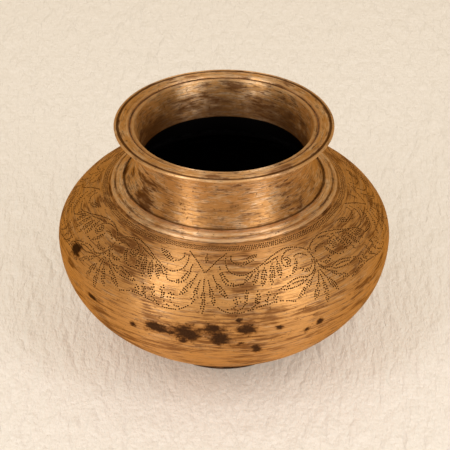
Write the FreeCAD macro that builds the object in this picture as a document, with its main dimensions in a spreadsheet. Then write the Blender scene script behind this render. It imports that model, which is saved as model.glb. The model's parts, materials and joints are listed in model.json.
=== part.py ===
"""A squat brass lota: a wide-bellied water pot on a low foot ring, with a waisted neck and a flat rim.

The pot is fabricated. A lower bowl and a shoulder meet in a lap joint round the belly, a waisted neck stands
on the shoulder's mouth, a moulded collar ring covers that joint, a flat rim flange is fitted round the
neck's top, and a foot ring carries the bowl. Each joint is closed by a bead of hard solder.

Every piece is turned about +Z from a closed section of lines and arcs in the XZ plane. The section's corners
and radii are expressions of the driving dimensions in the sheet. Units are millimetres, and the origin is at
the centre of the foot's underside.
"""

import FreeCAD, Part

import math
import os

import Sketcher

DIMENSIONS = {
    # belly, at its widest, and the lap joint there
    "belly_radius": 75.0,
    "belly_height": 55.5,
    "wall": 2.2,
    "lap_depth": 1.1,
    "lap_height": 4.0,
    # shoulder, going up from the belly: a tight arc, then a flatter one
    "shoulder_side_arc": 19.3,
    "shoulder_side_turn": 32.0,
    "shoulder_top_arc": 36.1,
    "mouth_radius": 43.0,
    # bowl, going down from the belly: two arcs, then a base arc centred on the axis, flat in the middle
    "bowl_side_arc": 40.0,
    "bowl_side_turn": 31.0,
    "bowl_low_arc": 57.0,
    "bowl_low_turn": 62.0,
    "base_flat_radius": 18.0,
    # neck: one arc above its waist and one below it
    "waist_radius": 39.2,
    "waist_height": 95.5,
    "neck_upper_arc": 42.0,
    "neck_lower_arc": 14.0,
    "neck_skirt_radius": 46.6,
    "lip_height": 111.5,
    "lip_width": 0.45,
    "lip_root_height": 110.6,
    # collar ring: a rounded low band, a groove and a broad, gently arched high band
    "collar_radius": 51.0,
    "collar_edge_height": 81.9,
    "low_band_round": 1.5,
    "collar_groove_radius": 48.6,
    "collar_groove_height": 82.9,
    "high_band_radius": 48.1,
    "high_band_crown_radius": 45.0,
    "high_band_crown_height": 84.8,
    "high_band_arc": 7.2,
    "collar_seat_height": 84.55,
    # rim flange: an outer bead, a groove and a flat land
    "rim_radius": 48.9,
    "rim_bead_height": 111.3,
    "rim_bead_round": 0.8,
    "rim_groove_radius": 47.2,
    "rim_groove_height": 111.3,
    "rim_land_height": 112.0,
    "rim_land_outer_radius": 46.4,
    "rim_land_inner_radius": 42.7,
    "rim_root_height": 107.8,
    # foot ring
    "foot_radius": 31.4,
    "foot_top_radius": 30.4,
    "foot_wall": 3.0,
    "foot_edge_round": 0.6,
    # solder beads
    "bead_leg": 1.2,
    "bead_share": 0.4,
}


class Cells:
    """Gives each cell of the sheet as an expression, by its alias."""

    def __getattr__(self, alias):
        return f"Dims.{alias}"


class Circle:
    """A circle of the section. Its centre (distance from the axis, height) and radius are expressions."""

    def __init__(self, r, z, radius):
        self.r = f"({r})"
        self.z = f"({z})"
        self.radius = f"({radius})"

    def grown(self, by):
        """The circle about the same centre with that much more radius."""
        return Circle(self.r, self.z, f"{self.radius} + ({by})")

    def at_turn(self, turn):
        """The point whose outward normal is turn degrees above the horizontal."""
        return f"{self.r} + {self.radius} * cos({turn})", f"{self.z} + {self.radius} * sin({turn})"

    def inside_at_turn(self, turn, radius):
        """The centre of a circle of another radius that touches this one from within at that turn."""
        apart = f"({self.radius} - ({radius}))"
        return f"{self.r} + {apart} * cos({turn})", f"{self.z} + {apart} * sin({turn})"

    def top_at(self, r):
        return f"({self.z} + sqrt({self.radius}^2 - (({r}) - {self.r})^2))"

    def bottom_at(self, r):
        return f"({self.z} - sqrt({self.radius}^2 - (({r}) - {self.r})^2))"

    def far_side_at(self, z):
        return f"({self.r} + sqrt({self.radius}^2 - (({z}) - {self.z})^2))"

    def near_side_at(self, z):
        return f"({self.r} - sqrt({self.radius}^2 - (({z}) - {self.z})^2))"


size = Cells()

# The circles of the outer surface. Each touches the one before it where they meet, so the surface is smooth.
SHOULDER_SIDE = Circle(
    f"{size.belly_radius} - {size.shoulder_side_arc}", size.belly_height, size.shoulder_side_arc
)
SHOULDER_TOP = Circle(
    *SHOULDER_SIDE.inside_at_turn(size.shoulder_side_turn, size.shoulder_top_arc), size.shoulder_top_arc
)
BOWL_SIDE = Circle(f"{size.belly_radius} - {size.bowl_side_arc}", size.belly_height, size.bowl_side_arc)
BOWL_LOW = Circle(*BOWL_SIDE.inside_at_turn(f"-{size.bowl_side_turn}", size.bowl_low_arc), size.bowl_low_arc)
BASE = Circle(
    "0",
    f"{BOWL_LOW.z} + {BOWL_LOW.r} * tan({size.bowl_low_turn})",
    f"{BOWL_LOW.radius} + {BOWL_LOW.r} / cos({size.bowl_low_turn})",
)
NECK_UPPER = Circle(f"{size.waist_radius} + {size.neck_upper_arc}", size.waist_height, size.neck_upper_arc)
NECK_LOWER = Circle(f"{size.waist_radius} + {size.neck_lower_arc}", size.waist_height, size.neck_lower_arc)

# The same circles on the inside of the wall. The neck's centres are outside the pot, so its circles grow.
SHOULDER_SIDE_INSIDE = SHOULDER_SIDE.grown(f"-{size.wall}")
SHOULDER_TOP_INSIDE = SHOULDER_TOP.grown(f"-{size.wall}")
BOWL_SIDE_INSIDE = BOWL_SIDE.grown(f"-{size.wall}")
BOWL_LOW_INSIDE = BOWL_LOW.grown(f"-{size.wall}")
BASE_INSIDE = BASE.grown(f"-{size.wall}")
NECK_UPPER_INSIDE = NECK_UPPER.grown(size.wall)
NECK_LOWER_INSIDE = NECK_LOWER.grown(size.wall)

# The lap joint: the bowl's upstand is the inner half of the wall, the shoulder's skirt the outer half.
LAP_FACE = f"({size.belly_radius} - {size.lap_depth})"
LAP_TOP = f"({size.belly_height} + {size.lap_height})"
BELLY_INSIDE = f"({size.belly_radius} - {size.wall})"

# The lip: the neck's top edge, bevelled on the outside down to the rim flange.
LIP_INNER = NECK_UPPER_INSIDE.near_side_at(size.lip_height)
LIP_OUTER = f"({LIP_INNER} + {size.lip_width})"
LIP_ROOT = NECK_UPPER.near_side_at(size.lip_root_height)

FOOT_INNER = f"({size.foot_radius} - {size.foot_wall})"
FOOT_INNER_TOP = f"({size.foot_top_radius} - {size.foot_wall})"


def make_sheet(doc):
    """The driving dimensions, one row each: the name in column A and the number, with that alias, in B."""
    sheet = doc.addObject("Spreadsheet::Sheet", "Dims")
    for row, (alias, value) in enumerate(DIMENSIONS.items(), start=1):
        sheet.set(f"A{row}", alias)
        sheet.set(f"B{row}", str(value))
        sheet.setAlias(f"B{row}", alias)
    doc.recompute()


def between(start, end, share):
    """The point that far along the way from start to end, as a share of it."""
    return tuple(f"({a}) + (({b}) - ({a})) * ({share})" for a, b in zip(start, end))


def origin_plane(body, role):
    return next(plane for plane in body.Origin.OriginFeatures if plane.Role == role)


def value_of(sketch, expression):
    return float(sketch.evalExpression(expression))


def add_edge(sketch, start, end, circle):
    """Adds a line, or the circle's shorter arc. Returns its index and the numbers of its two ends."""
    if circle is None:
        line = Part.LineSegment(FreeCAD.Vector(*start, 0), FreeCAD.Vector(*end, 0))
        return sketch.addGeometry(line), 1, 2
    centre_r, centre_z, radius = (value_of(sketch, part) for part in (circle.r, circle.z, circle.radius))
    start_angle, end_angle = (math.atan2(z - centre_z, r - centre_r) for r, z in (start, end))
    anticlockwise = (end_angle - start_angle) % math.tau < math.pi
    whole = Part.Circle(FreeCAD.Vector(centre_r, centre_z, 0), FreeCAD.Vector(0, 0, 1), radius)
    angles = (start_angle, end_angle) if anticlockwise else (end_angle, start_angle)
    index = sketch.addGeometry(Part.ArcOfCircle(whole, *angles))
    return (index, 1, 2) if anticlockwise else (index, 2, 1)


def bind(sketch, constraint, expression):
    """Adds a constraint and ties its value to the expression."""
    index = sketch.addConstraint(constraint)
    sketch.setExpression(f"Constraints[{index}]", expression)


def turned(doc, label, outline):
    """A body turned about +Z from a closed outline.

    The outline is a list of (corner, circle). A corner is (distance from the axis, height). The circle is
    the one that the outline follows from there to the next corner, or None for a straight line.
    """
    body = doc.addObject("PartDesign::Body", label)
    body.Label = label
    sketch = body.newObject("Sketcher::SketchObject", f"{label}_section")
    sketch.AttachmentSupport = (origin_plane(body, "XZ_Plane"), [""])
    sketch.MapMode = "FlatFace"
    corners = [tuple(value_of(sketch, expression) for expression in corner) for corner, _ in outline]
    following = corners[1:] + corners[:1]
    edges = [add_edge(sketch, *ends, circle) for *ends, (_, circle) in zip(corners, following, outline)]
    for edge, next_edge in zip(edges, edges[1:] + edges[:1]):
        index, _, last = edge
        sketch.addConstraint(Sketcher.Constraint("Coincident", index, last, *next_edge[:2]))
    for (index, first, _), values, (corner, circle) in zip(edges, corners, outline):
        for kind, value, expression in zip(("DistanceX", "DistanceY"), values, corner):
            bind(sketch, Sketcher.Constraint(kind, -1, 1, index, first, value), expression)
        if circle is not None:
            radius = value_of(sketch, circle.radius)
            bind(sketch, Sketcher.Constraint("Radius", index, radius), circle.radius)
    revolution = body.newObject("PartDesign::Revolution", f"{label}_turning")
    revolution.Profile = sketch
    revolution.ReferenceAxis = (sketch, ["V_Axis"])
    revolution.Angle = 360.0
    doc.recompute()
    return body


def lower_bowl(doc):
    """The lower half of the belly, with a flattened base and the inner half of the lap joint."""
    side_turn = f"-{size.bowl_side_turn}"
    low_turn = f"-{size.bowl_low_turn}"
    flat = size.base_flat_radius
    return turned(
        doc,
        "lower_bowl",
        [
            (("0", BASE.bottom_at(flat)), None),
            ((flat, BASE.bottom_at(flat)), BASE),
            (BOWL_LOW.at_turn(low_turn), BOWL_LOW),
            (BOWL_SIDE.at_turn(side_turn), BOWL_SIDE),
            ((size.belly_radius, size.belly_height), None),
            ((LAP_FACE, size.belly_height), None),
            ((LAP_FACE, LAP_TOP), None),
            ((BELLY_INSIDE, LAP_TOP), None),
            ((BELLY_INSIDE, size.belly_height), BOWL_SIDE_INSIDE),
            (BOWL_SIDE_INSIDE.at_turn(side_turn), BOWL_LOW_INSIDE),
            (BOWL_LOW_INSIDE.at_turn(low_turn), BASE_INSIDE),
            ((flat, BASE_INSIDE.bottom_at(flat)), None),
            (("0", BASE_INSIDE.bottom_at(flat)), None),
        ],
    )


def shoulder(doc):
    """The upper half of the belly, from the outer half of the lap joint to the mouth under the neck."""
    turn = size.shoulder_side_turn
    mouth = size.mouth_radius
    return turned(
        doc,
        "shoulder",
        [
            ((size.belly_radius, size.belly_height), SHOULDER_SIDE),
            (SHOULDER_SIDE.at_turn(turn), SHOULDER_TOP),
            ((mouth, SHOULDER_TOP.top_at(mouth)), None),
            ((mouth, SHOULDER_TOP_INSIDE.top_at(mouth)), SHOULDER_TOP_INSIDE),
            (SHOULDER_SIDE_INSIDE.at_turn(turn), SHOULDER_SIDE_INSIDE),
            ((SHOULDER_SIDE_INSIDE.far_side_at(LAP_TOP), LAP_TOP), None),
            ((LAP_FACE, LAP_TOP), None),
            ((LAP_FACE, size.belly_height), None),
        ],
    )


def neck(doc):
    """The waisted neck. Its skirt sits on the shoulder round the mouth, and its top edge is the thin lip."""
    skirt = size.neck_skirt_radius
    mouth = size.mouth_radius
    waist_inside = f"{size.waist_radius} - {size.wall}"
    return turned(
        doc,
        "neck",
        [
            ((mouth, SHOULDER_TOP.top_at(mouth)), SHOULDER_TOP),
            ((skirt, SHOULDER_TOP.top_at(skirt)), None),
            ((skirt, NECK_LOWER.bottom_at(skirt)), NECK_LOWER),
            ((size.waist_radius, size.waist_height), NECK_UPPER),
            ((LIP_ROOT, size.lip_root_height), None),
            ((LIP_OUTER, size.lip_height), None),
            ((LIP_INNER, size.lip_height), NECK_UPPER_INSIDE),
            ((waist_inside, size.waist_height), NECK_LOWER_INSIDE),
            ((mouth, NECK_LOWER_INSIDE.bottom_at(mouth)), None),
        ],
    )


def collar_ring(doc):
    """The moulded ring over the joint of neck and shoulder: a low band, a groove and a high band."""
    skirt = size.neck_skirt_radius
    edge = size.collar_radius
    seat = size.collar_seat_height
    low_crown = f"{edge} - {size.low_band_round}"
    high_crown = size.high_band_crown_radius
    high_centre = f"{size.high_band_crown_height} - {size.high_band_arc}"
    low_band = Circle(low_crown, size.collar_edge_height, size.low_band_round)
    high_band = Circle(high_crown, high_centre, size.high_band_arc)
    return turned(
        doc,
        "collar_ring",
        [
            ((skirt, SHOULDER_TOP.top_at(skirt)), SHOULDER_TOP),
            ((edge, SHOULDER_TOP.top_at(edge)), None),
            ((edge, size.collar_edge_height), low_band),
            ((low_crown, low_band.top_at(low_crown)), None),
            ((size.collar_groove_radius, size.collar_groove_height), None),
            ((size.high_band_radius, high_band.top_at(size.high_band_radius)), high_band),
            ((high_crown, size.high_band_crown_height), None),
            ((NECK_LOWER.near_side_at(seat), seat), NECK_LOWER),
            ((skirt, NECK_LOWER.bottom_at(skirt)), None),
        ],
    )


def rim_flange(doc):
    """The flat rim round the neck's top: an outer bead, a groove, a flat land and a conical underside."""
    root = size.rim_root_height
    bead_middle = f"{size.rim_radius} - {size.rim_bead_round}"
    bead = Circle(bead_middle, size.rim_bead_height, size.rim_bead_round)
    return turned(
        doc,
        "rim_flange",
        [
            ((NECK_UPPER.near_side_at(root), root), None),
            ((bead_middle, bead.bottom_at(bead_middle)), bead),
            ((size.rim_radius, size.rim_bead_height), bead),
            ((bead_middle, bead.top_at(bead_middle)), None),
            ((size.rim_groove_radius, size.rim_groove_height), None),
            ((size.rim_land_outer_radius, size.rim_land_height), None),
            ((size.rim_land_inner_radius, size.rim_land_height), None),
            ((LIP_ROOT, size.lip_root_height), NECK_UPPER),
        ],
    )


def foot_ring(doc):
    """The low splayed ring that the pot stands on. Its top is dished to the bowl."""
    edge = size.foot_edge_round
    edge_middle = f"{size.foot_radius} - {edge}"
    return turned(
        doc,
        "foot_ring",
        [
            ((FOOT_INNER, "0"), None),
            ((edge_middle, "0"), Circle(edge_middle, edge, edge)),
            ((size.foot_radius, edge), None),
            ((size.foot_top_radius, BASE.bottom_at(size.foot_top_radius)), BASE),
            ((FOOT_INNER_TOP, BASE.bottom_at(FOOT_INNER_TOP)), None),
        ],
    )


def mouth_solder(doc):
    """The bead in the groove between the lip's bevel and the rim flange."""
    root = (LIP_ROOT, size.lip_root_height)
    on_flange = between(root, (size.rim_land_inner_radius, size.rim_land_height), size.bead_share)
    on_lip = between(root, (LIP_OUTER, size.lip_height), size.bead_share)
    return turned(doc, "mouth_solder", [(root, None), (on_flange, None), (on_lip, None)])


def neck_solder(doc):
    """The bead inside the pot, in the corner of the neck's foot and the shoulder's mouth."""
    mouth = size.mouth_radius
    low = f"{SHOULDER_TOP.top_at(mouth)} - {size.bead_leg}"
    top = f"{NECK_LOWER_INSIDE.bottom_at(mouth)} + {size.bead_leg}"
    return turned(
        doc,
        "neck_solder",
        [
            ((mouth, low), None),
            ((mouth, NECK_LOWER_INSIDE.bottom_at(mouth)), NECK_LOWER_INSIDE),
            ((NECK_LOWER_INSIDE.near_side_at(top), top), None),
        ],
    )


def belly_solder(doc):
    """The bead inside the pot, over the inner edge of the lap joint."""
    low = f"{LAP_TOP} - {size.bead_leg}"
    high = f"{LAP_TOP} + {size.bead_leg}"
    crown = f"{SHOULDER_SIDE_INSIDE.far_side_at(high)} - {size.bead_share} * {size.bead_leg}"
    return turned(
        doc,
        "belly_solder",
        [
            ((BELLY_INSIDE, low), None),
            ((BELLY_INSIDE, LAP_TOP), None),
            ((SHOULDER_SIDE_INSIDE.far_side_at(LAP_TOP), LAP_TOP), SHOULDER_SIDE_INSIDE),
            ((SHOULDER_SIDE_INSIDE.far_side_at(high), high), None),
            ((crown, LAP_TOP), None),
        ],
    )


def foot_solder(doc):
    """The bead under the pot, in the corner of the bowl and the foot ring's inside."""
    corner = (FOOT_INNER_TOP, BASE.bottom_at(FOOT_INNER_TOP))
    on_bowl = f"({FOOT_INNER_TOP} - {size.bead_leg})"
    on_foot = between(corner, (FOOT_INNER, "0"), f"{size.bead_leg} / {corner[1]}")
    return turned(
        doc,
        "foot_solder",
        [((on_bowl, BASE.bottom_at(on_bowl)), None), (on_foot, None), (corner, BASE)],
    )


PIECES = (
    foot_ring,
    foot_solder,
    lower_bowl,
    belly_solder,
    shoulder,
    neck_solder,
    neck,
    collar_ring,
    mouth_solder,
    rim_flange,
)


def check(doc, bodies):
    """Stops the build if an object failed or a piece is not one valid solid."""
    failed = [item for item in doc.Objects if {"Invalid", "Error"} & set(item.State)]
    faults = [f"{item.Label}: {item.State}" for item in failed]
    for body in bodies:
        shape = body.Shape
        if shape.isNull() or not shape.isValid() or len(shape.Solids) != 1:
            faults.append(f"{body.Label}: not one valid solid")
    if faults:
        raise SystemExit("\n".join(faults))


def main():
    doc = FreeCAD.newDocument("Lota")
    make_sheet(doc)
    bodies = [piece(doc) for piece in PIECES]
    check(doc, bodies)
    os.makedirs("parts", exist_ok=True)
    for body in bodies:
        body.Shape.exportStep(f"parts/{body.Label}.step")
        print(f"{body.Label:13}{body.Shape.Volume:10.1f} mm3")


main()
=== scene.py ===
"""Looks of the brass lota: aged brass, a punched leaf-and-scroll band, stains, a pale floor and soft light.

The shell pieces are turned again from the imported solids' own sections, with worn edges, a slightly uneven
hand-finished surface, and punch marks cut into the shoulder.

Lengths are metres unless a comment or docstring says otherwise. Azimuth is in degrees from the front (-Y)
towards +X. Depth is the distance in millimetres down the shoulder's surface from the collar's edge, and it
goes on down the bowl below the belly's joint.
"""

import json
import math
import random

import bmesh
import bpy
import numpy as np
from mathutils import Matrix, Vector, geometry, noise

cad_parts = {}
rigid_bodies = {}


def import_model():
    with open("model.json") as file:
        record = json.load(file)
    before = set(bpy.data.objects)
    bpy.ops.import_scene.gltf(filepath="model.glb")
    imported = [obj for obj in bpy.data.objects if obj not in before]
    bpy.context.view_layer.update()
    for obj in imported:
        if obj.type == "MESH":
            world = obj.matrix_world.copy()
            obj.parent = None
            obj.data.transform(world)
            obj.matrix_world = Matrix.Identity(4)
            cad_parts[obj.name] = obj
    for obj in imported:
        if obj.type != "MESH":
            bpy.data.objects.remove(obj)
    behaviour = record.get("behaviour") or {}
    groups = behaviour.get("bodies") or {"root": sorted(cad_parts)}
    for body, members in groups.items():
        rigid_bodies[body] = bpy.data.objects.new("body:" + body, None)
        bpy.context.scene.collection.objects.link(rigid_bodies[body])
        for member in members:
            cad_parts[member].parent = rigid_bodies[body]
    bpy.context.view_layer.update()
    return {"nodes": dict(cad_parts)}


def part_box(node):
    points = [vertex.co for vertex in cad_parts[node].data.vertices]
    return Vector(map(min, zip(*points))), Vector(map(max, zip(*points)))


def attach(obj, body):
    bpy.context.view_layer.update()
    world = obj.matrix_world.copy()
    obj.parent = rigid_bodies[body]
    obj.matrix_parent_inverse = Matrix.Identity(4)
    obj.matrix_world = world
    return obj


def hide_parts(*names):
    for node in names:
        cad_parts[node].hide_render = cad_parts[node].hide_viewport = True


for leftover in list(bpy.data.objects):  # what a new Blender file starts with
    bpy.data.objects.remove(leftover)

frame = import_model()

SEED = 7
random.seed(SEED)
noise.seed_set(SEED)

MM = 0.001
COLUMNS = 360  # vertices in one turn round the axis
ON_AXIS = 0.1 * MM  # what is nearer to the axis than this lies on it
SAME_PLACE = MM / 1000  # vertices nearer to each other than this are one
CORNER_TURN = math.radians(30)  # where an outline turns by more than this, it has a corner
SHARP = math.radians(45)  # where faces meet at more than this, smooth shading stops

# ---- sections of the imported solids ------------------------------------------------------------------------


def section(node):
    """The node's outline in the half plane y = 0, x > 0, as an array of (distance from the axis, height)."""
    shape = bmesh.new()
    shape.from_mesh(frame["nodes"][node].data)
    bmesh.ops.remove_doubles(shape, verts=shape.verts, dist=SAME_PLACE)
    for normal in ((1, 0, 0), (0, 1, 0)):
        cut = bmesh.ops.bisect_plane(
            shape,
            geom=[*shape.verts, *shape.edges, *shape.faces],
            plane_co=(0, 0, 0),
            plane_no=normal,
            dist=SAME_PLACE,
            clear_inner=normal[0] == 1,
        )
    links = {}
    for edge in (item for item in cut["geom_cut"] if isinstance(item, bmesh.types.BMEdge)):
        a, b = ((round(v.co.x, 7), round(v.co.z, 7)) for v in edge.verts)
        links.setdefault(a, []).append(b)
        links.setdefault(b, []).append(a)
    shape.free()
    ends = [point for point, near in links.items() if len(near) == 1]
    outline = [min(ends or links, key=lambda point: point[1])]
    while True:
        onward = [point for point in links[outline[-1]] if point not in outline]
        if not onward:
            return np.array(outline)
        outline.append(onward[0])


def is_closed(outline):
    """An outline is closed unless it starts on the axis."""
    return outline[0][0] > ON_AXIS


def turns(before, after):
    """The angles between the steps before and after each point of an outline."""
    angles = np.arctan2(after[:, 1], after[:, 0]) - np.arctan2(before[:, 1], before[:, 0])
    return np.abs((angles + math.pi) % math.tau - math.pi)


def runs(outline):
    """Splits an outline at its corners. A closed one starts and ends at its sharpest corner."""
    if is_closed(outline):
        sharpest = np.argmax(turns(outline - np.roll(outline, 1, 0), np.roll(outline, -1, 0) - outline))
        outline = np.roll(outline, -sharpest, 0)
        outline = np.vstack([outline, outline[:1]])
    steps = np.diff(outline, axis=0)
    corners = np.flatnonzero(turns(steps[:-1], steps[1:]) > CORNER_TURN) + 1
    stops = [0, *corners, len(outline) - 1]
    return [outline[a : b + 1] for a, b in zip(stops, stops[1:])]


def lengths_along(outline):
    """The distance along an outline from its start to each of its points."""
    return np.concatenate([[0], np.linalg.norm(np.diff(outline, axis=0), axis=1).cumsum()])


def longest(outlines):
    return max(outlines, key=lambda outline: lengths_along(outline)[-1])


def smooth_curve(points, step, end_step=None):
    """Points about a step apart on a smooth curve through the given ones, or end_step apart at its ends."""
    points = np.asarray(points, float)
    at = lengths_along(points)
    chords = np.diff(at)
    slopes = np.diff(points, axis=0) / chords[:, None]
    tangents = np.vstack([slopes[:1], slopes[-1:]])
    if len(points) > 2:
        shares = chords[:-1, None] / (chords[1:] + chords[:-1])[:, None]
        inner = slopes[1:] * shares + slopes[:-1] * (1 - shares)
        tangents = np.vstack([2 * slopes[0] - inner[0], inner, 2 * slopes[-1] - inner[-1]])
    where = np.linspace(0, at[-1], max(1, round(at[-1] / step)) + 1)
    if end_step and at[-1] > 10 * end_step:  # room for three short steps at each end
        extra = end_step * np.arange(1, 4)
        far = where[(where > 1.5 * extra[-1]) & (where < at[-1] - 1.5 * extra[-1])]
        where = np.concatenate([[0], extra, far, at[-1] - extra[::-1], [at[-1]]])
    i = np.clip(np.searchsorted(at, where, side="right") - 1, 0, len(chords) - 1)
    s = ((where - at[i]) / chords[i])[:, None]
    rise, fall = tangents[i] * chords[i][:, None], tangents[i + 1] * chords[i][:, None]
    ends = points[i] * (1 + 2 * s) * (1 - s) ** 2 + points[i + 1] * s**2 * (3 - 2 * s)
    return ends + rise * s * (1 - s) ** 2 + fall * s**2 * (s - 1)


def worn_section(node, step, end_step, passes):
    """A node's outline with its corners rounded, as handling and polishing do."""
    parts = [smooth_curve(run, step, end_step) for run in runs(section(node))]
    outline = np.vstack([part[:-1] for part in parts])
    if not is_closed(outline):
        outline = np.vstack([outline, parts[-1][-1:]])
    for _ in range(passes):
        smooth = outline / 2 + (np.roll(outline, 1, 0) + np.roll(outline, -1, 0)) / 4
        if not is_closed(outline):
            smooth[[0, -1]] = outline[[0, -1]]
        outline = smooth
    return outline


# Places on the pot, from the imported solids.
BELLY_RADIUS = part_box("shoulder")[1].x
BELLY_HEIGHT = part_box("shoulder")[0].z
COLLAR_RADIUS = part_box("collar_ring")[1].x
SECTIONS = {
    node: section(node) for node in ("neck", "collar_ring", "rim_flange", "mouth_solder", "foot_ring")
}
LIP_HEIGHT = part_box("neck")[1].z
WAIST_HEIGHT = SECTIONS["neck"][np.argmin(SECTIONS["neck"][:, 0])][1]
# Below this height the pot's inside is painted near-black: partly its oxidised inside, partly painted shade
# where little light reaches.
OXIDE_AND_SHADE_HEIGHT = WAIST_HEIGHT - 1.5 * MM

# The corners where two pieces meet and grime stays, each with how far the grime reaches.
CREVICES = (
    (SECTIONS["collar_ring"][np.argmin(SECTIONS["collar_ring"][:, 1])], 0.6 * MM),
    (SECTIONS["collar_ring"][np.argmin(SECTIONS["collar_ring"][:, 0])], 0.4 * MM),
    (SECTIONS["rim_flange"][np.argmin(SECTIONS["rim_flange"][:, 1])], 0.6 * MM),
    (SECTIONS["mouth_solder"][np.argmin(SECTIONS["mouth_solder"][:, 1])], 0.7 * MM),
    (SECTIONS["foot_ring"][np.argmax(SECTIONS["foot_ring"][:, 1])], 1.2 * MM),
)

# The lip's inner corner, painted bright: worn by hands and water, and a painted highlight along the lip; with
# how far the bright edge reaches.
RUBBED_AND_SHEEN_CORNERS = ((min(SECTIONS["neck"], key=lambda point: point[0] - 2 * point[1]), 0.6 * MM),)

# The outer surface, from the shoulder's mouth down to the belly's joint, and on down the bowl.
SHOULDER_LINE = smooth_curve(longest(runs(section("shoulder")))[::-1], 0.2 * MM)
BOWL_LINE = max(runs(section("lower_bowl")), key=lambda run: run[:, 0].max() * lengths_along(run)[-1])[::-1]
OUTER_LINE = np.vstack([SHOULDER_LINE, BOWL_LINE[1:]])
OUTER_DEPTHS = lengths_along(OUTER_LINE) / MM
OUTER_DEPTHS -= np.interp(COLLAR_RADIUS, SHOULDER_LINE[:, 0], OUTER_DEPTHS[: len(SHOULDER_LINE)])
MOUTH_DEPTH = OUTER_DEPTHS[0]
JOINT_DEPTH = OUTER_DEPTHS[len(SHOULDER_LINE) - 1]


def radius_at(depth):
    return np.interp(depth, OUTER_DEPTHS, OUTER_LINE[:, 0])


def height_at(depth):
    return np.interp(depth, OUTER_DEPTHS, OUTER_LINE[:, 1])


# ---- what the materials read at each vertex ---------------------------------------------------------------

GROOVE_REACH = 0.8 * MM  # how far to each side a point is compared with its outline
GROOVE_DEPTH = 0.12 * MM  # a point this far below its outline's chord is full of grime
MOST_WORN = -0.6

# Dark stains on the belly: azimuth, depth, half width in degrees, half height in millimetres.
STAINS = (
    (-64.9, 26.5, 2.7, 2.8),
    (-51.0, 41.9, 1.7, 1.4),
    (-32.0, 45.4, 1.2, 1.2),
    (-23.5, 43.1, 4.0, 2.6),
    (-12.5, 43.4, 5.2, 3.9),
    (-14.2, 48.4, 1.3, 1.2),
    (-3.4, 39.4, 2.7, 2.5),
    (-1.4, 44.4, 2.9, 3.4),
    (7.6, 40.4, 2.8, 2.6),
    (4.5, 35.3, 1.0, 1.0),
    (5.7, 48.9, 1.1, 1.0),
    (11.0, 53.0, 1.5, 2.8),
    (18.7, 41.4, 1.3, 1.1),
    (28.9, 46.9, 1.1, 1.4),
    (34.0, 44.9, 1.2, 1.7),
    (96.0, 42.0, 3.5, 2.4),
    (118.0, 45.0, 2.0, 2.2),
    (151.0, 39.5, 4.4, 2.6),
    (163.0, 44.0, 2.2, 2.0),
    (204.0, 43.0, 3.8, 3.0),
    (221.0, 33.0, 1.6, 1.8),
    (251.0, 46.0, 3.0, 2.2),
)


def in_stains(points):
    """How far inside a stain each point is: 1 at its middle, 0 at its edge and negative outside."""
    azimuths = np.degrees(np.arctan2(points[:, 0], -points[:, 1]))
    depths = np.interp(-points[:, 2], -OUTER_LINE[:, 1], OUTER_DEPTHS)
    inside = np.full(len(points), -1.0)
    for azimuth, depth, half_width, half_height in STAINS:
        across = (azimuths - azimuth + 180) % 360 - 180
        inside = np.maximum(inside, 1 - np.hypot(across / half_width, (depths - depth) / half_height))
    return inside


def near_corners(places, corners):
    """How near each (distance from the axis, height) is to one of the corners: 1 at the corner itself."""
    near = np.zeros(len(places))
    for corner, reach in corners:
        away = np.linalg.norm(places - corner, axis=1) / reach
        near = np.maximum(near, np.exp(-away * away))
    return near


def winding(outline):
    """1 for a closed outline that runs anticlockwise, -1 for one that runs clockwise."""
    following = np.roll(outline, -1, 0)
    return math.copysign(1, np.sum(outline[:, 0] * following[:, 1] - following[:, 0] * outline[:, 1]))


def relief_of(outline):
    """How deep in a groove (up to 1) or how far out on an edge (down to -1) each point of an outline is."""
    loop = np.vstack([outline, outline[:1]])
    at = lengths_along(loop)
    sides = [
        np.stack([np.interp(at[:-1] + shift, at, loop[:, k], period=at[-1]) for k in (0, 1)], 1)
        for shift in (-GROOVE_REACH, GROOVE_REACH)
    ]
    chord = sides[1] - sides[0]
    outward = np.stack([chord[:, 1], -chord[:, 0]], 1) / np.linalg.norm(chord, axis=1)[:, None]
    sunk = np.sum(((sides[0] + sides[1]) / 2 - outline) * outward, axis=1) * winding(outline)
    relief = np.clip(sunk / GROOVE_DEPTH, -1, 1)
    return np.maximum(relief, 0.5 * np.maximum(np.roll(relief, 1), np.roll(relief, -1)))


def outwards(outline):
    """The direction away from the metal at each point of an outline."""
    chord = np.roll(outline, -1, 0) - np.roll(outline, 1, 0)
    return np.stack([chord[:, 1], -chord[:, 0]], 1) * winding(outline)


def inner_wall_shade(outline):
    """Painted shade on a wall that faces the axis, deepening from 0 at the lip to 0.9 at the neck's waist."""
    below_lip = (LIP_HEIGHT - MM - outline[:, 1]) / (LIP_HEIGHT - WAIST_HEIGHT)
    return 0.9 * np.clip(below_lip, 0, 1) ** 0.5 * (outwards(outline)[:, 0] < 0)


def faces_inside(outline):
    """1 where an outline faces the pot's inside, from a little below the neck's waist down, else 0."""
    to_centre = np.array([0, BELLY_HEIGHT]) - outline
    inward = np.sum(outwards(outline) * to_centre, axis=1) > 0
    return (inward & (outline[:, 1] < OXIDE_AND_SHADE_HEIGHT)).astype(float)


# ---- meshes -----------------------------------------------------------------------------------------------

SWELLS = ((45 * MM, 0.14 * MM), (13 * MM, 0.035 * MM))  # each with how far apart and how high they are
RIDGE_HALF_WIDTH = 1.6 * MM
RIDGE_HEIGHT = 0.03 * MM


def stray(point):
    """How far a hand-finished surface is from a perfect turning, and the low ridge on the belly's joint."""
    wander = Vector()
    for spacing, height in SWELLS:
        wander += noise.noise_vector(point / spacing) * height
    if point.xy.length < BELLY_RADIUS - MM:
        return wander
    from_joint = (point.z - BELLY_HEIGHT) / RIDGE_HALF_WIDTH
    return wander + point.xy.to_3d().normalized() * RIDGE_HEIGHT * math.exp(-from_joint * from_joint)


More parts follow.
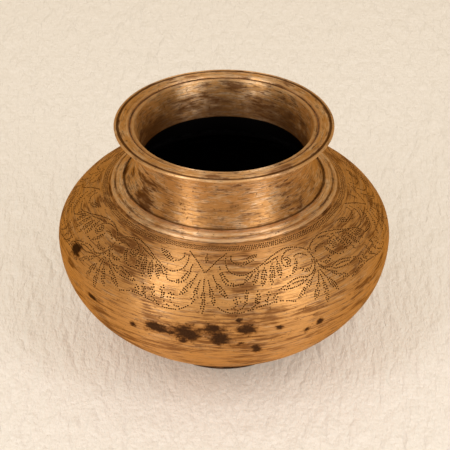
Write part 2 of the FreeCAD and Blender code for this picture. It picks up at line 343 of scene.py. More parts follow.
def place(azimuth, radius, height):
    """The point that far round from the front."""
    turn = math.radians(azimuth)
    return Vector((radius * math.sin(turn), -radius * math.cos(turn), height))


def turned(outline, closed):
    """Vertices and faces of the surface that an outline makes as it turns about the axis."""
    vertices, faces, circles = [], [], []
    for radius, height in outline:
        count = 1 if radius < ON_AXIS else COLUMNS
        circles.append([len(vertices) + i % count for i in range(COLUMNS + 1)])
        vertices += [place(360 * i / COLUMNS - 180, radius, height) for i in range(count)]
    onward = circles[1:] + (circles[:1] if closed else [])
    for here, there in zip(circles, onward):
        for i in range(COLUMNS):
            faces.append(tuple(dict.fromkeys((here[i], here[i + 1], there[i + 1], there[i]))))
    return vertices, faces


def per_vertex(outline, values):
    """Repeats a value for each point of an outline over the vertices that turned() makes of it."""
    return np.repeat(values, np.where(outline[:, 0] < ON_AXIS, 1, COLUMNS))


def sharpen(shape):
    """Marks corners and the rims of the punched pits as sharp, so that smooth shading stops there."""
    cut = shape.verts.layers.float["cut"]  # 1 on a pit's floor
    sunk = {face for face in shape.faces if any(vertex[cut] > 0.5 for vertex in face.verts)}
    for edge in shape.edges:
        same = len({face in sunk for face in edge.link_faces}) == 1
        edge.smooth = same and edge.calc_face_angle(0) < SHARP


def new_piece(name, node, vertices, faces, readings):
    """A smooth-shaded piece that stands for a CAD node. Its materials find the readings at each vertex."""
    mesh = bpy.data.meshes.new(name)
    mesh.from_pydata([tuple(vertex + stray(vertex)) for vertex in vertices], [], faces)
    readings["stain"] = np.where(readings["inside"] > 0, -1, in_stains(np.array(vertices)))
    for label, values in readings.items():
        attribute = mesh.attributes.new(label, "FLOAT", "POINT")
        attribute.data.foreach_set("value", np.asarray(values, np.float32))
    shape = bmesh.new()
    shape.from_mesh(mesh)
    bmesh.ops.remove_doubles(shape, verts=shape.verts, dist=2 * SAME_PLACE)
    for face in shape.faces:
        face.smooth = True
    bmesh.ops.recalc_face_normals(shape, faces=shape.faces)
    sharpen(shape)
    shape.to_mesh(mesh)
    shape.free()
    piece = bpy.data.objects.new(name, mesh)
    bpy.context.scene.collection.objects.link(piece)
    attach(piece, "root")
    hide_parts(node)
    return piece


def turned_piece(name, node, step, end_step=None, wear=3, grime_left=1):
    """A piece turned again from its node's own section, with corners that are rounder for more wear.

    Grime_left is how much of the grime in its grooves was never cleaned out, from 0 to 1.
    """
    outline = worn_section(node, step, end_step, wear)
    vertices, faces = turned(outline, is_closed(outline))
    # Painted shade down the inside of the neck, darkest at its waist.
    relief = inner_wall_shade(outline)
    if is_closed(outline):
        own = relief_of(outline)
        relief = np.clip(relief + np.where(own > 0, own * grime_left, own), MOST_WORN, 1)
    # The lip's inner corner: worn bright, and a painted highlight.
    rubbed_and_sheen = near_corners(outline, RUBBED_AND_SHEEN_CORNERS)
    relief = relief * (1 - rubbed_and_sheen) - rubbed_and_sheen
    crevice = near_corners(outline, CREVICES)
    relief = crevice + (1 - crevice) * relief
    readings = {
        "relief": per_vertex(outline, relief),
        "inside": per_vertex(outline, faces_inside(outline)),
        "cut": np.zeros(len(vertices)),
    }
    return new_piece(name, node, vertices, faces, readings)


# ---- the punched design -----------------------------------------------------------------------------------

# The lengths here are in millimetres on the shoulder's surface. A punch mark's size is (length, width).
DOT = (0.88, 0.76)
LINE = (1.25, 0.66)
STROKE = (1.05, 0.7)
BORDER_BLOW = (1.0, 0.58)
DOT_PITCH = 0.97
LINE_PITCH = 1.15
LEAF_PITCH = 0.98
ROSETTE_PITCH = 0.86
BORDER_PITCH = 1.0
BLOW_PITCH = 1.05
BORDER_DEPTH = 2.5
BORDER_SLANT = -math.radians(60)

# A leaf's strokes lean away from its path by SLANT. Their middles lie at STROKE_SHARE of its half width.
SLANT = math.radians(65)
STROKE_SHARE = 0.78
LEAST_OFFSET = 0.42
NARROW, WIDE = 0.35, 0.95  # half widths of a leaf between which it has two strokes side by side and no dot
INNER_RING = 0.42  # the radius of a rosette's inner ring, as a share of its outer one

# The errors of hand work: how far off a blow lands, how far its punch is turned, and how its length varies.
AIM_ERROR = 0.07
TURN_ERROR = 0.1
LENGTH_RANGE = (0.88, 1.12)

# The design goes round in repeats, each from one knot axis over a leaf axis to the next knot axis.
REPEATS = 4
HALF_WIDTH = 45  # degrees from a leaf axis to a knot axis, as the motifs' paths have it
FRONT_AXES = (-49.3, -7.4, 36.8)

marks = []


def strike(azimuth, depth, heading, length, width):
    """Adds one punch mark, with the small errors of hand work: (azimuth, depth, heading, length, width)."""
    around = math.degrees(random.gauss(0, AIM_ERROR) * MM / radius_at(depth))
    off = random.gauss(0, AIM_ERROR)
    turn = random.gauss(0, TURN_ERROR)
    length *= random.uniform(*LENGTH_RANGE)
    marks.append((azimuth + around, depth + off, heading + turn, length, width))


def beside(azimuth, depth, heading, offset):
    """The place that far to one side of a heading, which is in radians, from +azimuth towards down."""
    along = -math.sin(heading) * offset
    return azimuth + math.degrees(along * MM / radius_at(depth)), depth + math.cos(heading) * offset


class HalfRepeat:
    """One half of a repeat of the design, between a leaf axis and a knot axis.

    Its paths are lists of (degrees from the leaf axis, depth), on a half repeat HALF_WIDTH degrees wide.
    """

    def __init__(self, leaf_axis, knot_axis):
        self.leaf_axis = leaf_axis
        self.stretch = (knot_axis - leaf_axis) / HALF_WIDTH

    def walk(self, path, pitch):
        """Evenly spaced (azimuth, depth, heading) along a smooth curve through the path."""
        path = np.array(path, float)
        scale = math.radians(self.stretch) * radius_at(path[:, 1].mean()) / MM
        flat = smooth_curve(path * (scale, 1), pitch)
        steps = np.gradient(flat, axis=0)
        headings = np.arctan2(steps[:, 1], steps[:, 0])
        return list(zip(self.leaf_axis + flat[:, 0] / scale * self.stretch, flat[:, 1], headings))

    def dots(self, *path):
        for stop in self.walk(path, DOT_PITCH):
            strike(*stop, *DOT)

    def line(self, *path):
        for stop in self.walk(path, LINE_PITCH):
            strike(*stop, *LINE)

    def leaf(self, width, *path, stem=0.0):
        """Slanting strokes on both sides of the path, widest past its middle, after a stem of only dots."""
        stops = self.walk(path, LEAF_PITCH)
        for i, (azimuth, depth, heading) in enumerate(stops):
            share = (i / (len(stops) - 1) - stem) / (1 - stem)
            if share < 0:
                strike(azimuth, depth, heading, *DOT)
                continue
            # The powers put the widest place past the middle and make both ends blunt.
            half = width / 2 * math.sin(math.pi * min(share, 0.97) ** 1.3) ** 0.8
            if half < NARROW or half > WIDE:
                strike(azimuth, depth, heading, *DOT)
            if half >= NARROW:
                for side in (-1, 1):
                    spot = beside(azimuth, depth, heading, side * max(LEAST_OFFSET, STROKE_SHARE * half))
                    strike(*spot, heading + side * SLANT, *STROKE)

    def rosette(self, radius, centre):
        """A ring of dots round a smaller one."""
        stops = self.walk([centre, (centre[0] + 1, centre[1])], 1)
        azimuth, depth, _ = stops[0]
        for ring_radius in (radius, radius * INNER_RING):
            count = max(3, round(math.tau * ring_radius / ROSETTE_PITCH))
            for k in range(count):
                turn = math.tau * k / count
                spot = beside(azimuth, depth, turn, ring_radius)
                strike(*spot, turn, *DOT)


def arch(half):
    """The big scroll from the leaf axis up and over to the knot, and the leaflets that hang from it."""
    half.dots(
        (8.2, 7.5), (9.4, 13.5), (13.5, 15.7), (21, 12.8), (29, 8.2), (36, 6.6), (41.5, 8.2), (44.6, 10.6)
    )
    half.dots((20, 14), (25, 11.6), (30.5, 9.5))
    half.leaf(1.7, (19.7, 14.4), (17.5, 16), (15.3, 18.7))
    half.leaf(2.2, (21.5, 13.6), (19.8, 16.5), (18.4, 20))
    half.leaf(2.5, (24, 12.6), (23, 16.5), (21.6, 21))
    half.leaf(2.5, (27.4, 11.4), (26.4, 16), (25.2, 21))
    half.leaf(2.1, (29.8, 10.8), (29.5, 14.5), (29, 18.8))


def scroll(half):
    """The spiral under the arch, with a rosette at its middle, and the crescent leaf beside it."""
    half.dots((37.3, 7.8), (34.2, 8.6), (32.2, 10.5), (31.5, 12.7), (32.2, 14.6), (34.2, 15))
    half.rosette(1.7, (33.6, 12.4))
    half.line((42.4, 12.5), (40.2, 10.9), (37.6, 11.3))
    half.leaf(1.4, (37.6, 11.8), (36.4, 15.8), (34.2, 18.4))
    half.line((32.9, 19), (31.5, 19.2))
    half.leaf(1.3, (42.6, 17.9), (40, 19), (38, 17.3))


def border_leaf(half):
    """The small leaf that hangs from the border over the arch, and the hook under it."""
    half.leaf(2.6, (14.6, 11.2), (18, 9), (21.8, 6.8))
    half.line((14.6, 10.6), (12.3, 10.2), (10.8, 9.2), (10.5, 6.6))


def long_leaf(half):
    """The long pointed leaf that lies along the design's foot, from the knot towards the leaf axis."""
    half.line((44.6, 17.5), (42.5, 20.4), (39.5, 21.8))
    half.dots((39.5, 21.8), (35, 21), (30.5, 22.6), (27.5, 24))
    half.dots((39.5, 22.4), (35, 24.2), (30.5, 24.5), (27.8, 24.4))
    half.dots((37.3, 22.4), (34, 22.6), (30.8, 23.5))


def knot(half):
    """What springs from the knot axis: a fan of leaves below it."""
    half.leaf(2.1, (44.2, 19.5), (40.5, 23.5), (34, 29.2), stem=0.3)
    half.leaf(2.5, (44.5, 21), (42.8, 26), (40, 32), stem=0.3)


def palmette(half):
    """What springs from the leaf axis: an open V above it, a fan of leaves below, and a curled leaf."""
    half.dots((0.4, 14.2), (4, 9.4), (8.4, 5.2))
    half.leaf(2.1, (1.6, 18), (2.9, 23), (4, 28.2), stem=0.25)
    half.leaf(2.2, (3.2, 15.6), (5.2, 20), (8.6, 25), stem=0.25)
    half.leaf(1.8, (5.6, 11.6), (6.6, 15), (8.6, 18.6), (11.8, 19.9))
    half.line((11.8, 19.9), (13.2, 19.9), (14.6, 19.6))


def foot_curve(half):
    """The wave along the design's foot, its rosette and the leaflets that stand on it."""
    half.dots((5.3, 29.3), (8.5, 31.4), (12.5, 31.8), (20.8, 29.6), (28, 28.9), (32.5, 30.4))
    half.rosette(1.5, (12, 26.4))
    half.dots((12, 28.4), (10.8, 29.6), (8.7, 30.3))
    half.leaf(2.3, (11.3, 31.2), (14.6, 28.6), (15.6, 22.4), stem=0.4)
    half.leaf(2.3, (14.5, 31), (18.4, 28.6), (19.6, 23.2), stem=0.4)
    half.leaf(2.1, (18.5, 30), (22.2, 28), (23.5, 24.2), stem=0.4)
    half.leaf(1.8, (22.5, 29.2), (25.2, 27.6), (26.4, 25.6), stem=0.4)


def on_axes(half):
    """The leaves that stand on the two axes themselves. Only one half of each repeat draws them."""
    half.leaf(1.2, (0, 5.6), (0, 9.5))
    half.leaf(2.1, (0, 17.6), (0, 24), (0, 32), stem=0.25)
    half.rosette(1.0, (45, 11))
    half.line((45, 12.4), (45, 14.4))
    half.rosette(1.2, (45, 16.2))
    half.leaf(2.5, (45, 21), (45, 28), (45, 35.5), stem=0.3)


def border():
    """Slanting strokes side by side, all round below the collar, each made with three blows."""
    count = round(math.tau * radius_at(BORDER_DEPTH) / MM / BORDER_PITCH)
    for k in range(count):
        for blow in (-1, 0, 1):
            spot = beside(360 * k / count, BORDER_DEPTH, BORDER_SLANT - math.pi / 2, -blow * BLOW_PITCH)
            strike(*spot, BORDER_SLANT, *BORDER_BLOW)


def punched_design():
    """Every mark of the design. The front repeat is a little narrower than the others."""
    others = np.linspace(FRONT_AXES[-1], FRONT_AXES[0] + 360, 2 * REPEATS - 1)
    axes = [*FRONT_AXES, *others[1:]]
    border()
    for k in range(1, 2 * REPEATS, 2):
        leaf_axis = axes[k]
        for knot_axis in (axes[k - 1], axes[k + 1]):
            half = HalfRepeat(leaf_axis, knot_axis)
            for motif in (palmette, arch, scroll, border_leaf, long_leaf, knot, foot_curve):
                motif(half)
            if knot_axis > leaf_axis:
                on_axes(half)


# ---- the surface with the marks cut into it ---------------------------------------------------------------


class Grid:
    """Finds what lies near a place on the unrolled shoulder, where x goes round and y goes down."""

    CELL = 2.4

    def __init__(self):
        self.cells = {}

    def add(self, x, y, item):
        self.cells.setdefault((int(x // self.CELL), int(y // self.CELL)), []).append((x, y, item))

    def near(self, x, y):
        column, row = int(x // self.CELL), int(y // self.CELL)
        for key in ((column + i, row + j) for i in (-1, 0, 1) for j in (-1, 0, 1)):
            yield from self.cells.get(key, ())


# Lengths in millimetres. RIM_CUT is what the materials read on a mark's rim. On its floor they read 1.
UNROLLED_RADIUS = 65
UNROLLED = math.radians(1) * UNROLLED_RADIUS  # one degree on the unrolled shoulder
BURR = 0.02
PIT = (0.2, 0.28)  # the shallowest and the deepest pit
RIM_CUT = 0.3
RING_POINTS = 8
LONG = 1.4  # a mark longer than this many widths has two points on its floor, others have one
FLOOR_SHARE = 0.42  # how far from its middle they are, as a share of its length without its width
LEAST_GAP = 0.04  # between two marks
JOINT_GAP = 1  # between a mark and the belly's joint
SEAM_LENGTHS = 1.2  # between a mark and the mesh's seam at the back, in lengths of the mark
CLEARANCE = 0.3  # between a mark and the points outside it
ROW_SPACING = 1.25
SLOPE_STEP = 0.1
FLAT_TOLERANCE = 1e-6


def crowded(grid, x, depth, width):
    """Whether a mark there would fall on one that is already in the grid."""
    near = grid.near(x, depth)
    return any(math.hypot(x - u, depth - v) < (width + other[4]) / 2 + LEAST_GAP for u, v, other in near)


def kept_marks(grid):
    """The marks that are clear of each other, of the mesh's seam and of the joint, each put in the grid."""
    kept = []
    for mark in marks:
        azimuth = (mark[0] + 180) % 360 - 180
        _, depth, heading, length, width = mark
        x = azimuth * UNROLLED
        on_seam = abs(azimuth) > 180 - SEAM_LENGTHS * math.degrees(length * MM / radius_at(depth))
        on_joint = depth > JOINT_DEPTH - JOINT_GAP
        if on_seam or on_joint or crowded(grid, x, depth, width):
            continue
        kept.append((azimuth, depth, heading, length, width))
        grid.add(x, depth, kept[-1])
    return kept


def punched_points(mark):
    """The low burr round a mark and its sunk floor, as points of (azimuth, depth, lift, cut)."""
    azimuth, depth, heading, length, width = mark
    per_degree = math.radians(1) * radius_at(depth) / MM
    cos, sin = math.cos(heading), math.sin(heading)

    def point(along, across, lift, cut):
        right, down = along * cos - across * sin, along * sin + across * cos
        return azimuth + right / per_degree, depth + down, lift, cut

    turns_round = [math.tau * k / RING_POINTS for k in range(RING_POINTS)]
    points = [point(length / 2 * math.cos(a), width / 2 * math.sin(a), BURR, RIM_CUT) for a in turns_round]
    sink = -random.uniform(*PIT)
    for end in (0,) if length < LONG * width else (-1, 1):
        points.append(point(end * (length - width) * FLOOR_SHARE, 0, sink, 1))
    return points


def plain_points(grid):
    """The shoulder's own points between the marks, in rows all round it, as (azimuth, depth, lift, cut)."""
    rows = round((JOINT_DEPTH - MOUTH_DEPTH) / ROW_SPACING)
    points = []
    for row, depth in enumerate(np.linspace(MOUTH_DEPTH, JOINT_DEPTH, rows + 1)):
        shifted = row % 2 == 1 and row < rows
        azimuths = np.arange(COLUMNS) + 0.5 - 180 if shifted else np.arange(COLUMNS + 1) - 180.0
        for azimuth in azimuths:
            x = azimuth * UNROLLED
            if not any(covers(mark, x - u, depth - v) for u, v, mark in grid.near(x, depth)):
                points.append((azimuth, depth, 0, 0))
    return points


def covers(mark, right, down):
    """Whether the place that far from a mark's middle lies on it or too near it."""
    _, _, heading, length, width = mark
    along = right * math.cos(heading) + down * math.sin(heading)
    across = down * math.cos(heading) - right * math.sin(heading)
    return math.hypot(along / (length / 2 + CLEARANCE), across / (width / 2 + CLEARANCE)) < 1


def lifted(depth, lift):
    """The (distance from the axis, height) that far off the outer surface at a depth."""
    radius, height = radius_at(depth), height_at(depth)
    if depth <= MOUTH_DEPTH + SLOPE_STEP:
        return radius, height
    outwards_by = radius_at(depth + SLOPE_STEP) - radius_at(depth - SLOPE_STEP)
    upwards_by = height_at(depth + SLOPE_STEP) - height_at(depth - SLOPE_STEP)
    share = lift * MM / math.hypot(outwards_by, upwards_by)
    return radius - upwards_by * share, height + outwards_by * share


def engraved_surface():
    """The shoulder's outer surface with every mark cut into it: vertices, faces and each vertex's cut."""
    punched_design()
    grid = Grid()
    points = [point for mark in kept_marks(grid) for point in punched_points(mark)]
    points += plain_points(grid)
    flat = [Vector((azimuth * UNROLLED, depth)) for azimuth, depth, _, _ in points]
    _, _, faces, origins, _, _ = geometry.delaunay_2d_cdt(flat, [], [], 0, FLAT_TOLERANCE)
    points = [points[origin[0]] for origin in origins]
    vertices = [place(azimuth, *lifted(depth, lift)) for azimuth, depth, lift, _ in points]
    return vertices, [tuple(face) for face in faces], [cut for *_, cut in points]


def shoulder():
    """The shoulder: its engraved outer surface, closed by the rest of its node's section, turned."""
    vertices, faces, cuts = engraved_surface()
    whole = runs(section("shoulder"))
    outer = max(range(len(whole)), key=lambda i: lengths_along(whole[i])[-1])
    others = whole[outer + 1 :] + whole[:outer]
    parts = [smooth_curve(run, 1.5 * MM) for run in others]
    hidden = np.vstack([part[:-1] for part in parts] + [parts[-1][-1:]])
    more_vertices, more_faces = turned(hidden, False)
    places = np.array([(vertex.xy.length, vertex.z) for vertex in vertices])
    readings = {
        "relief": np.concatenate([near_corners(places, CREVICES), np.zeros(len(more_vertices))]),
        "inside": np.concatenate([places[:, 0] < hidden[0][0] + ON_AXIS, np.ones(len(more_vertices))]),
        "cut": np.concatenate([cuts, np.zeros(len(more_vertices))]),
    }
    readings["inside"][-COLUMNS:] = 0  # the last circle is the outer edge of the belly's joint
    faces += [tuple(index + len(vertices) for index in face) for face in more_faces]
    return new_piece("shoulder_engraved", "shoulder", vertices + more_vertices, faces, readings)


# ---- materials --------------------------------------------------------------------------------------------

BRIGHT = (0.92, 0.67, 0.4)
WORN = (0.84, 0.53, 0.26)
GOLDEN = (0.67, 0.335, 0.108)
BROWN = (0.26, 0.097, 0.024)
UMBER = (0.085, 0.03, 0.008)
# Grime, and the painted shade inside the neck.
GRIME_AND_SHADE = (0.13, 0.046, 0.01)
PIT_COLOUR = (0.05, 0.013, 0.001)
STAIN_COLOUR = (0.06, 0.026, 0.012)
# Near-black for the pot's inside: oxide, and painted shade.
INSIDE_OXIDE_AND_SHADE = (0.004, 0.003, 0.0025)
EDGE_TINT = (0.76, 0.53, 0.3, 1)  # what the brass reflects at a glancing angle
QUARTER_TURN = 0.25  # turns the brushed highlights across the turning lines
PAPER = (0.785, 0.702, 0.59)
PAPER_SHADE = (0.68, 0.602, 0.487)


class Look:
    """A material's nodes. Its methods take each number or colour as a value or as a node's output."""

    def __init__(self, name):
        self.material = bpy.data.materials.new(name)
        self.material.use_nodes = True
        self.tree = self.material.node_tree
        self.shader = self.tree.nodes["Principled BSDF"]
        self.position = self.add("ShaderNodeTexCoord").outputs["Object"]

    def add(self, kind, *values, **settings):
        """Adds a node, with its settings and, in their order, the values of its inputs."""
        node = self.tree.nodes.new(kind)
        for setting, value in settings.items():
            setattr(node, setting, value)
        for socket, value in zip(node.inputs, values):
            self.put(socket, value)
        return node

    def put(self, socket, value):
        if isinstance(value, bpy.types.NodeSocket):
            self.tree.links.new(value, socket)
        elif value is not None:
            socket.default_value = (*value, 1) if socket.type == "RGBA" else value

    def math(self, operation, *values):
        return self.add("ShaderNodeMath", *values, operation=operation).outputs[0]

    def total(self, *weighted, start=0):
        """The start and the sum of the (weight, value) pairs."""
        for weight, value in weighted:
            start = self.math("MULTIPLY_ADD", value, weight, start)
        return start

    def times(self, vector, factors):
        return self.add("ShaderNodeVectorMath", vector, factors, operation="MULTIPLY").outputs[0]

    def noise(self, vector, scale, detail=3.0, roughness=0.5):
        return self.add("ShaderNodeTexNoise", vector, None, scale, detail, roughness).outputs[0]

    def between(self, value, low, high):
        """0 where the value is below low, 1 where it is above high, and a smooth step between them."""
        node = self.add("ShaderNodeMapRange", value, low, high, interpolation_type="SMOOTHSTEP")
        return node.outputs[0]

    def reading(self, label):
        return self.add("ShaderNodeAttribute", attribute_name=label).outputs["Fac"]

    def mix(self, share, first, second):
        node = self.add("ShaderNodeMix", data_type="RGBA")
        self.put(node.inputs[0], share)
        self.put(node.inputs[6], first)
        self.put(node.inputs[7], second)
        return node.outputs[2]

    def layered(self, colour, *layers):
        """The colour with each layer laid over it in turn, as (its share, where it is, its own colour)."""
        for share, where, paint in layers:
            colour = self.mix(self.math("MULTIPLY", where, share), colour, paint)
        return colour

    def turning(self, flow):
        """Coordinates that run round the axis and, in the third, along the section.

        The flow is how much the section runs outwards as it goes up: 0 on an upright wall, -1 on a shoulder
        and 1 on a bowl.
        """
        split = self.add("ShaderNodeSeparateXYZ", self.position).outputs
        squares = [self.math("MULTIPLY", split[k], split[k]) for k in (0, 1)]
        radius = self.math("SQRT", self.math("ADD", *squares))
        along = self.total((flow, radius), start=split[2])
        sides = [self.math("DIVIDE", split[k], radius) for k in (0, 1)]
        return self.add("ShaderNodeCombineXYZ", *sides, along).outputs[0]

    def finish(self, colour, roughness, metallic, height, bump, bump_depth):
        self.put(self.shader.inputs["Base Color"], colour)
        self.put(self.shader.inputs["Roughness"], roughness)
        self.put(self.shader.inputs["Metallic"], metallic)
        node = self.add("ShaderNodeBump")
        self.put(node.inputs["Strength"], bump)
        self.put(node.inputs["Distance"], bump_depth)
        self.put(node.inputs["Height"], height)
        self.put(self.shader.inputs["Normal"], node.outputs[0])
        return self.material


def aged_brass(name, flow, tarnish, polish_and_sheen, brushed=0.9):
    """Old turned brass, with the flow that turning() takes.

    Tarnish is how much of it is brown, and polish how much of it is light: worn bright, and on the
    collar also a painted highlight. Brushed is how far its highlights spread across the turning lines.
    All three go from 0 to 1.
    """
    look = Look(name)
    round_axis = look.turning(flow)
    bands = look.noise(look.times(round_axis, (4, 4, 300)), 1, 4)
    streaks = look.noise(look.times(round_axis, (7.5, 7.5, 1000)), 1, 5, 0.65)
    hairs = look.noise(look.times(round_axis, (7, 7, 3600)), 1, 2)
    blotches = look.noise(look.position, 42, 5, 0.6)
    mottle = look.noise(look.position, 420, 4, 0.6)
    specks = look.noise(look.position, 1100, 2)
    tatters = look.noise(look.times(look.position, (1, 1, 1.8)), 210, 5, 0.65)
    relief, cut, stain, inside = (look.reading(label) for label in ("relief", "cut", "stain", "inside"))

    # Where each layer is: 0 where there is none of it and 1 in the middle of it.
    rubbed_and_sheen = look.total((0.65, streaks), (0.35, blotches))
    shine = look.between(rubbed_and_sheen, 0.54 - 0.12 * polish_and_sheen, 0.62 - 0.1 * polish_and_sheen)
    bright = look.between(rubbed_and_sheen, 0.61 - 0.12 * polish_and_sheen, 0.71 - 0.12 * polish_and_sheen)
    patchy = look.total((0.3, bands), (0.35, blotches), (0.35, streaks))
    brown = look.between(patchy, 0.57 - 0.12 * tarnish, 0.64 - 0.1 * tarnish)
    lines = look.between(look.total((0.6, hairs), (0.4, streaks)), 0.5, 0.62)
    # Grime in grooves and crevices, and painted shade down the inside of the neck.
    grime_and_shade = look.between(look.total((0.45, mottle), (0.95, bands), (1, relief)), 0.85, 1.55)
    # Edges painted bright: wear, and on the lip's inner corner also a painted highlight.
    edge = look.between(look.total((-0.5, streaks), (-1, relief)), -0.1, 0.4)
    ragged = look.total((3.4, tatters), (1.2, streaks), (1, stain))
    stained = look.between(ragged, 2.0, 2.85)
    halo = look.between(ragged, 1.4, 2.5)
    flecks = look.between(look.total((0.55, specks), (0.45, mottle), (0.1, halo)), 0.6, 0.66)
    pit_rim = look.between(cut, RIM_CUT - 0.15, RIM_CUT - 0.02)
    pit = look.between(cut, RIM_CUT + 0.01, RIM_CUT + 0.12)

    colour = look.layered(
        GOLDEN,
        (1, shine, WORN),
        (1, bright, BRIGHT),
        (0.9, look.math("MAXIMUM", brown, halo), BROWN),
        (0.8, lines, BROWN),
        (0.5, edge, WORN),
        (0.6, flecks, UMBER),
        (0.8, grime_and_shade, GRIME_AND_SHADE),
        (0.5, pit_rim, GOLDEN),
        (0.95, pit, PIT_COLOUR),
        (0.9, stained, STAIN_COLOUR),
        # The inside painted near-black: oxide, and painted shade.
        (1, inside, INSIDE_OXIDE_AND_SHADE),
    )
    crusted = look.math("MAXIMUM", grime_and_shade, look.math("MAXIMUM", stained, pit))
    dull = look.total((0.12, brown), (0.2, streaks), (0.4, crusted), start=0.35)
    dull = look.math("MAXIMUM", dull, look.math("MULTIPLY", inside, 0.95))
    height = look.total((0.5, hairs), (0.7, streaks), (0.6, mottle), (-0.5, flecks))
    look.shader.inputs["Specular Tint"].default_value = EDGE_TINT
    look.shader.inputs["Anisotropic"].default_value = brushed
    look.shader.inputs["Anisotropic Rotation"].default_value = QUARTER_TURN
    along_the_turn = look.add("ShaderNodeTangent", direction_type="RADIAL", axis="Z").outputs[0]
    look.put(look.shader.inputs["Tangent"], along_the_turn)
    return look.finish(colour, dull, 1, height, bump=0.65, bump_depth=0.2 * MM)


def plain_metal(name, light, dark, roughness):
    """Unpolished metal in two tones, for the foot ring and the solder."""
    look = Look(name)
    blotches = look.noise(look.position, 160, 5, 0.6)
    mottle = look.noise(look.position, 900, 4, 0.6)
    share = look.between(look.total((0.5, mottle), (0.6, blotches)), 0.42, 0.7)
    colour = look.mix(share, dark, light)
    dull = look.total((0.25, blotches), start=roughness)
    height = look.total((0.5, mottle), (1, blotches))
    metal = look.total((-0.25, share), start=1)
    return look.finish(colour, dull, metal, height, bump=0.6, bump_depth=0.2 * MM)


def give(piece, material):
    piece.data.materials.clear()
    piece.data.materials.append(material)


# ---- stage, camera and light ------------------------------------------------------------------------------

FOCAL_LENGTH = 187.7  # millimetres
EYE = Vector((0, -0.894, 0.6377))
AIM = Vector((0.0004, 0, 0.0582))
SOFTBOX_DISTANCE = 1.3
SOFTBOX_COLOUR = (0.9, 0.98, 1.16)
ROOM_COLOUR = (1, 0.87, 0.7, 1)
ROOM_STRENGTH = 0.62
# How much the floor glows: painted light that lifts its shadows.
PAPER_GLOW = 0.3


def floor():
    """Pale crinkled paper, a little darker towards the back as painted shade, and glowing a little as painted
    light.
    """
    bpy.ops.mesh.primitive_plane_add(size=6)
    sheet = bpy.context.object
    sheet.name = "floor"
    look = Look("cream_paper")
    wrinkles = look.noise(look.times(look.position, (1.9, 0.6, 1)), 55, 5, 0.55)
    crinkles = look.math("ABSOLUTE", look.math("SUBTRACT", wrinkles, 0.5))
    grain = look.noise(look.position, 420, 3)
    # Painted shade: the paper is darker towards the back.
    far = look.between(look.add("ShaderNodeSeparateXYZ", look.position).outputs[1], -0.2, 0.3)
    colour = look.mix(look.total((0.25, far), (0.75, grain)), PAPER, PAPER_SHADE)
    height = look.total((2.4, crinkles), (0.25, grain))
    # The paper glows: painted light that lifts the shadows on it.
    look.put(look.shader.inputs["Emission Color"], colour)
    look.shader.inputs["Emission Strength"].default_value = PAPER_GLOW
    give(sheet, look.finish(colour, 0.6, 0, height, bump=0.75, bump_depth=3 * MM))


def softbox(name, azimuth, elevation, size, power):
    """An area light that faces the pot from that direction."""
    data = bpy.data.lights.new(name, "AREA")
    data.shape = "RECTANGLE"
    data.size, data.size_y = size
    data.energy = power
    data.color = SOFTBOX_COLOUR
    light = bpy.data.objects.new(name, data)
    bpy.context.scene.collection.objects.link(light)
    turn, rise = math.radians(azimuth), math.radians(elevation)
    towards = Vector((math.sin(turn) * math.cos(rise), -math.cos(turn) * math.cos(rise), math.sin(rise)))
    light.location = towards * SOFTBOX_DISTANCE + Vector((0, 0, BELLY_HEIGHT))
    light.rotation_euler = towards.to_track_quat("Z", "Y").to_euler()


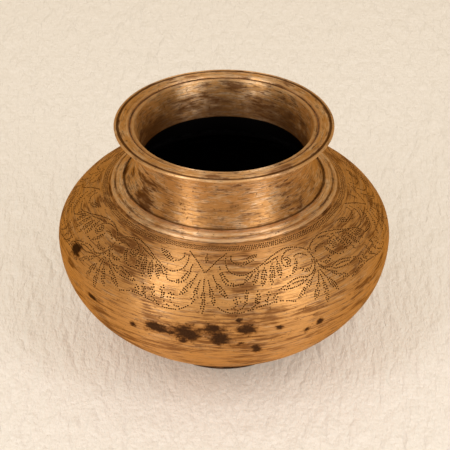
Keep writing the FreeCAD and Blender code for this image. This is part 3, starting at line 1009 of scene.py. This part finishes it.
def studio():
    """Tall soft boxes at the front left and right, a weak wide one between them, and an even warm light."""
    softbox("key", azimuth=-45, elevation=37, size=(0.36, 1.6), power=7)
    softbox("fill", azimuth=48, elevation=37, size=(0.42, 1.6), power=7.2)
    softbox("front", azimuth=4, elevation=32, size=(1.1, 0.9), power=1.5)
    world = bpy.data.worlds.new("studio")
    world.use_nodes = True
    world.node_tree.nodes["Background"].inputs["Color"].default_value = ROOM_COLOUR
    world.node_tree.nodes["Background"].inputs["Strength"].default_value = ROOM_STRENGTH
    bpy.context.scene.world = world
    bpy.context.scene.view_settings.view_transform = "Standard"


def camera():
    """Looks down at the pot from the front."""
    data = bpy.data.cameras.new("camera")
    data.lens = FOCAL_LENGTH
    eye = bpy.data.objects.new("camera", data)
    bpy.context.scene.collection.objects.link(eye)
    eye.location = EYE
    eye.rotation_euler = (AIM - EYE).to_track_quat("-Z", "Y").to_euler()
    bpy.context.scene.camera = eye


# ---- the whole scene --------------------------------------------------------------------------------------

bowl = turned_piece("lower_bowl_worn", "lower_bowl", 1.0 * MM, end_step=0.03 * MM)
give(bowl, aged_brass("bowl_brass", flow=1, tarnish=0.75, polish_and_sheen=0.4))
give(shoulder(), aged_brass("shoulder_brass", flow=-1, tarnish=0.7, polish_and_sheen=0.4))
neck = turned_piece("neck_worn", "neck", 0.5 * MM)
give(neck, aged_brass("neck_brass", flow=0, tarnish=0.45, polish_and_sheen=0.65, brushed=1))
collar = turned_piece("collar_ring_worn", "collar_ring", 0.25 * MM, wear=18, grime_left=0.45)
# The collar is painted light: partly worn bright, partly a painted highlight for light from above the front.
give(collar, aged_brass("collar_brass", flow=-1, tarnish=0.2, polish_and_sheen=1))
rim = turned_piece("rim_flange_worn", "rim_flange", 0.25 * MM, wear=5)
give(rim, aged_brass("rim_brass", flow=1, tarnish=0.5, polish_and_sheen=0.75))
foot_brass = plain_metal("foot_brass", light=(0.2, 0.1, 0.045), dark=(0.05, 0.024, 0.012), roughness=0.5)
give(frame["nodes"]["foot_ring"], foot_brass)
outer_solder = plain_metal("old_solder", light=(0.3, 0.14, 0.05), dark=(0.1, 0.042, 0.014), roughness=0.55)
# The beads inside the pot are painted near-black: oxide, and painted shade.
inner_solder = plain_metal(
    "oxide_and_shade_solder", light=(0.012, 0.009, 0.007), dark=(0.003, 0.002, 0.002), roughness=0.7
)
for bead in ("foot_solder", "mouth_solder"):
    give(frame["nodes"][bead], outer_solder)
for bead in ("belly_solder", "neck_solder"):
    give(frame["nodes"][bead], inner_solder)

floor()
camera()
studio()
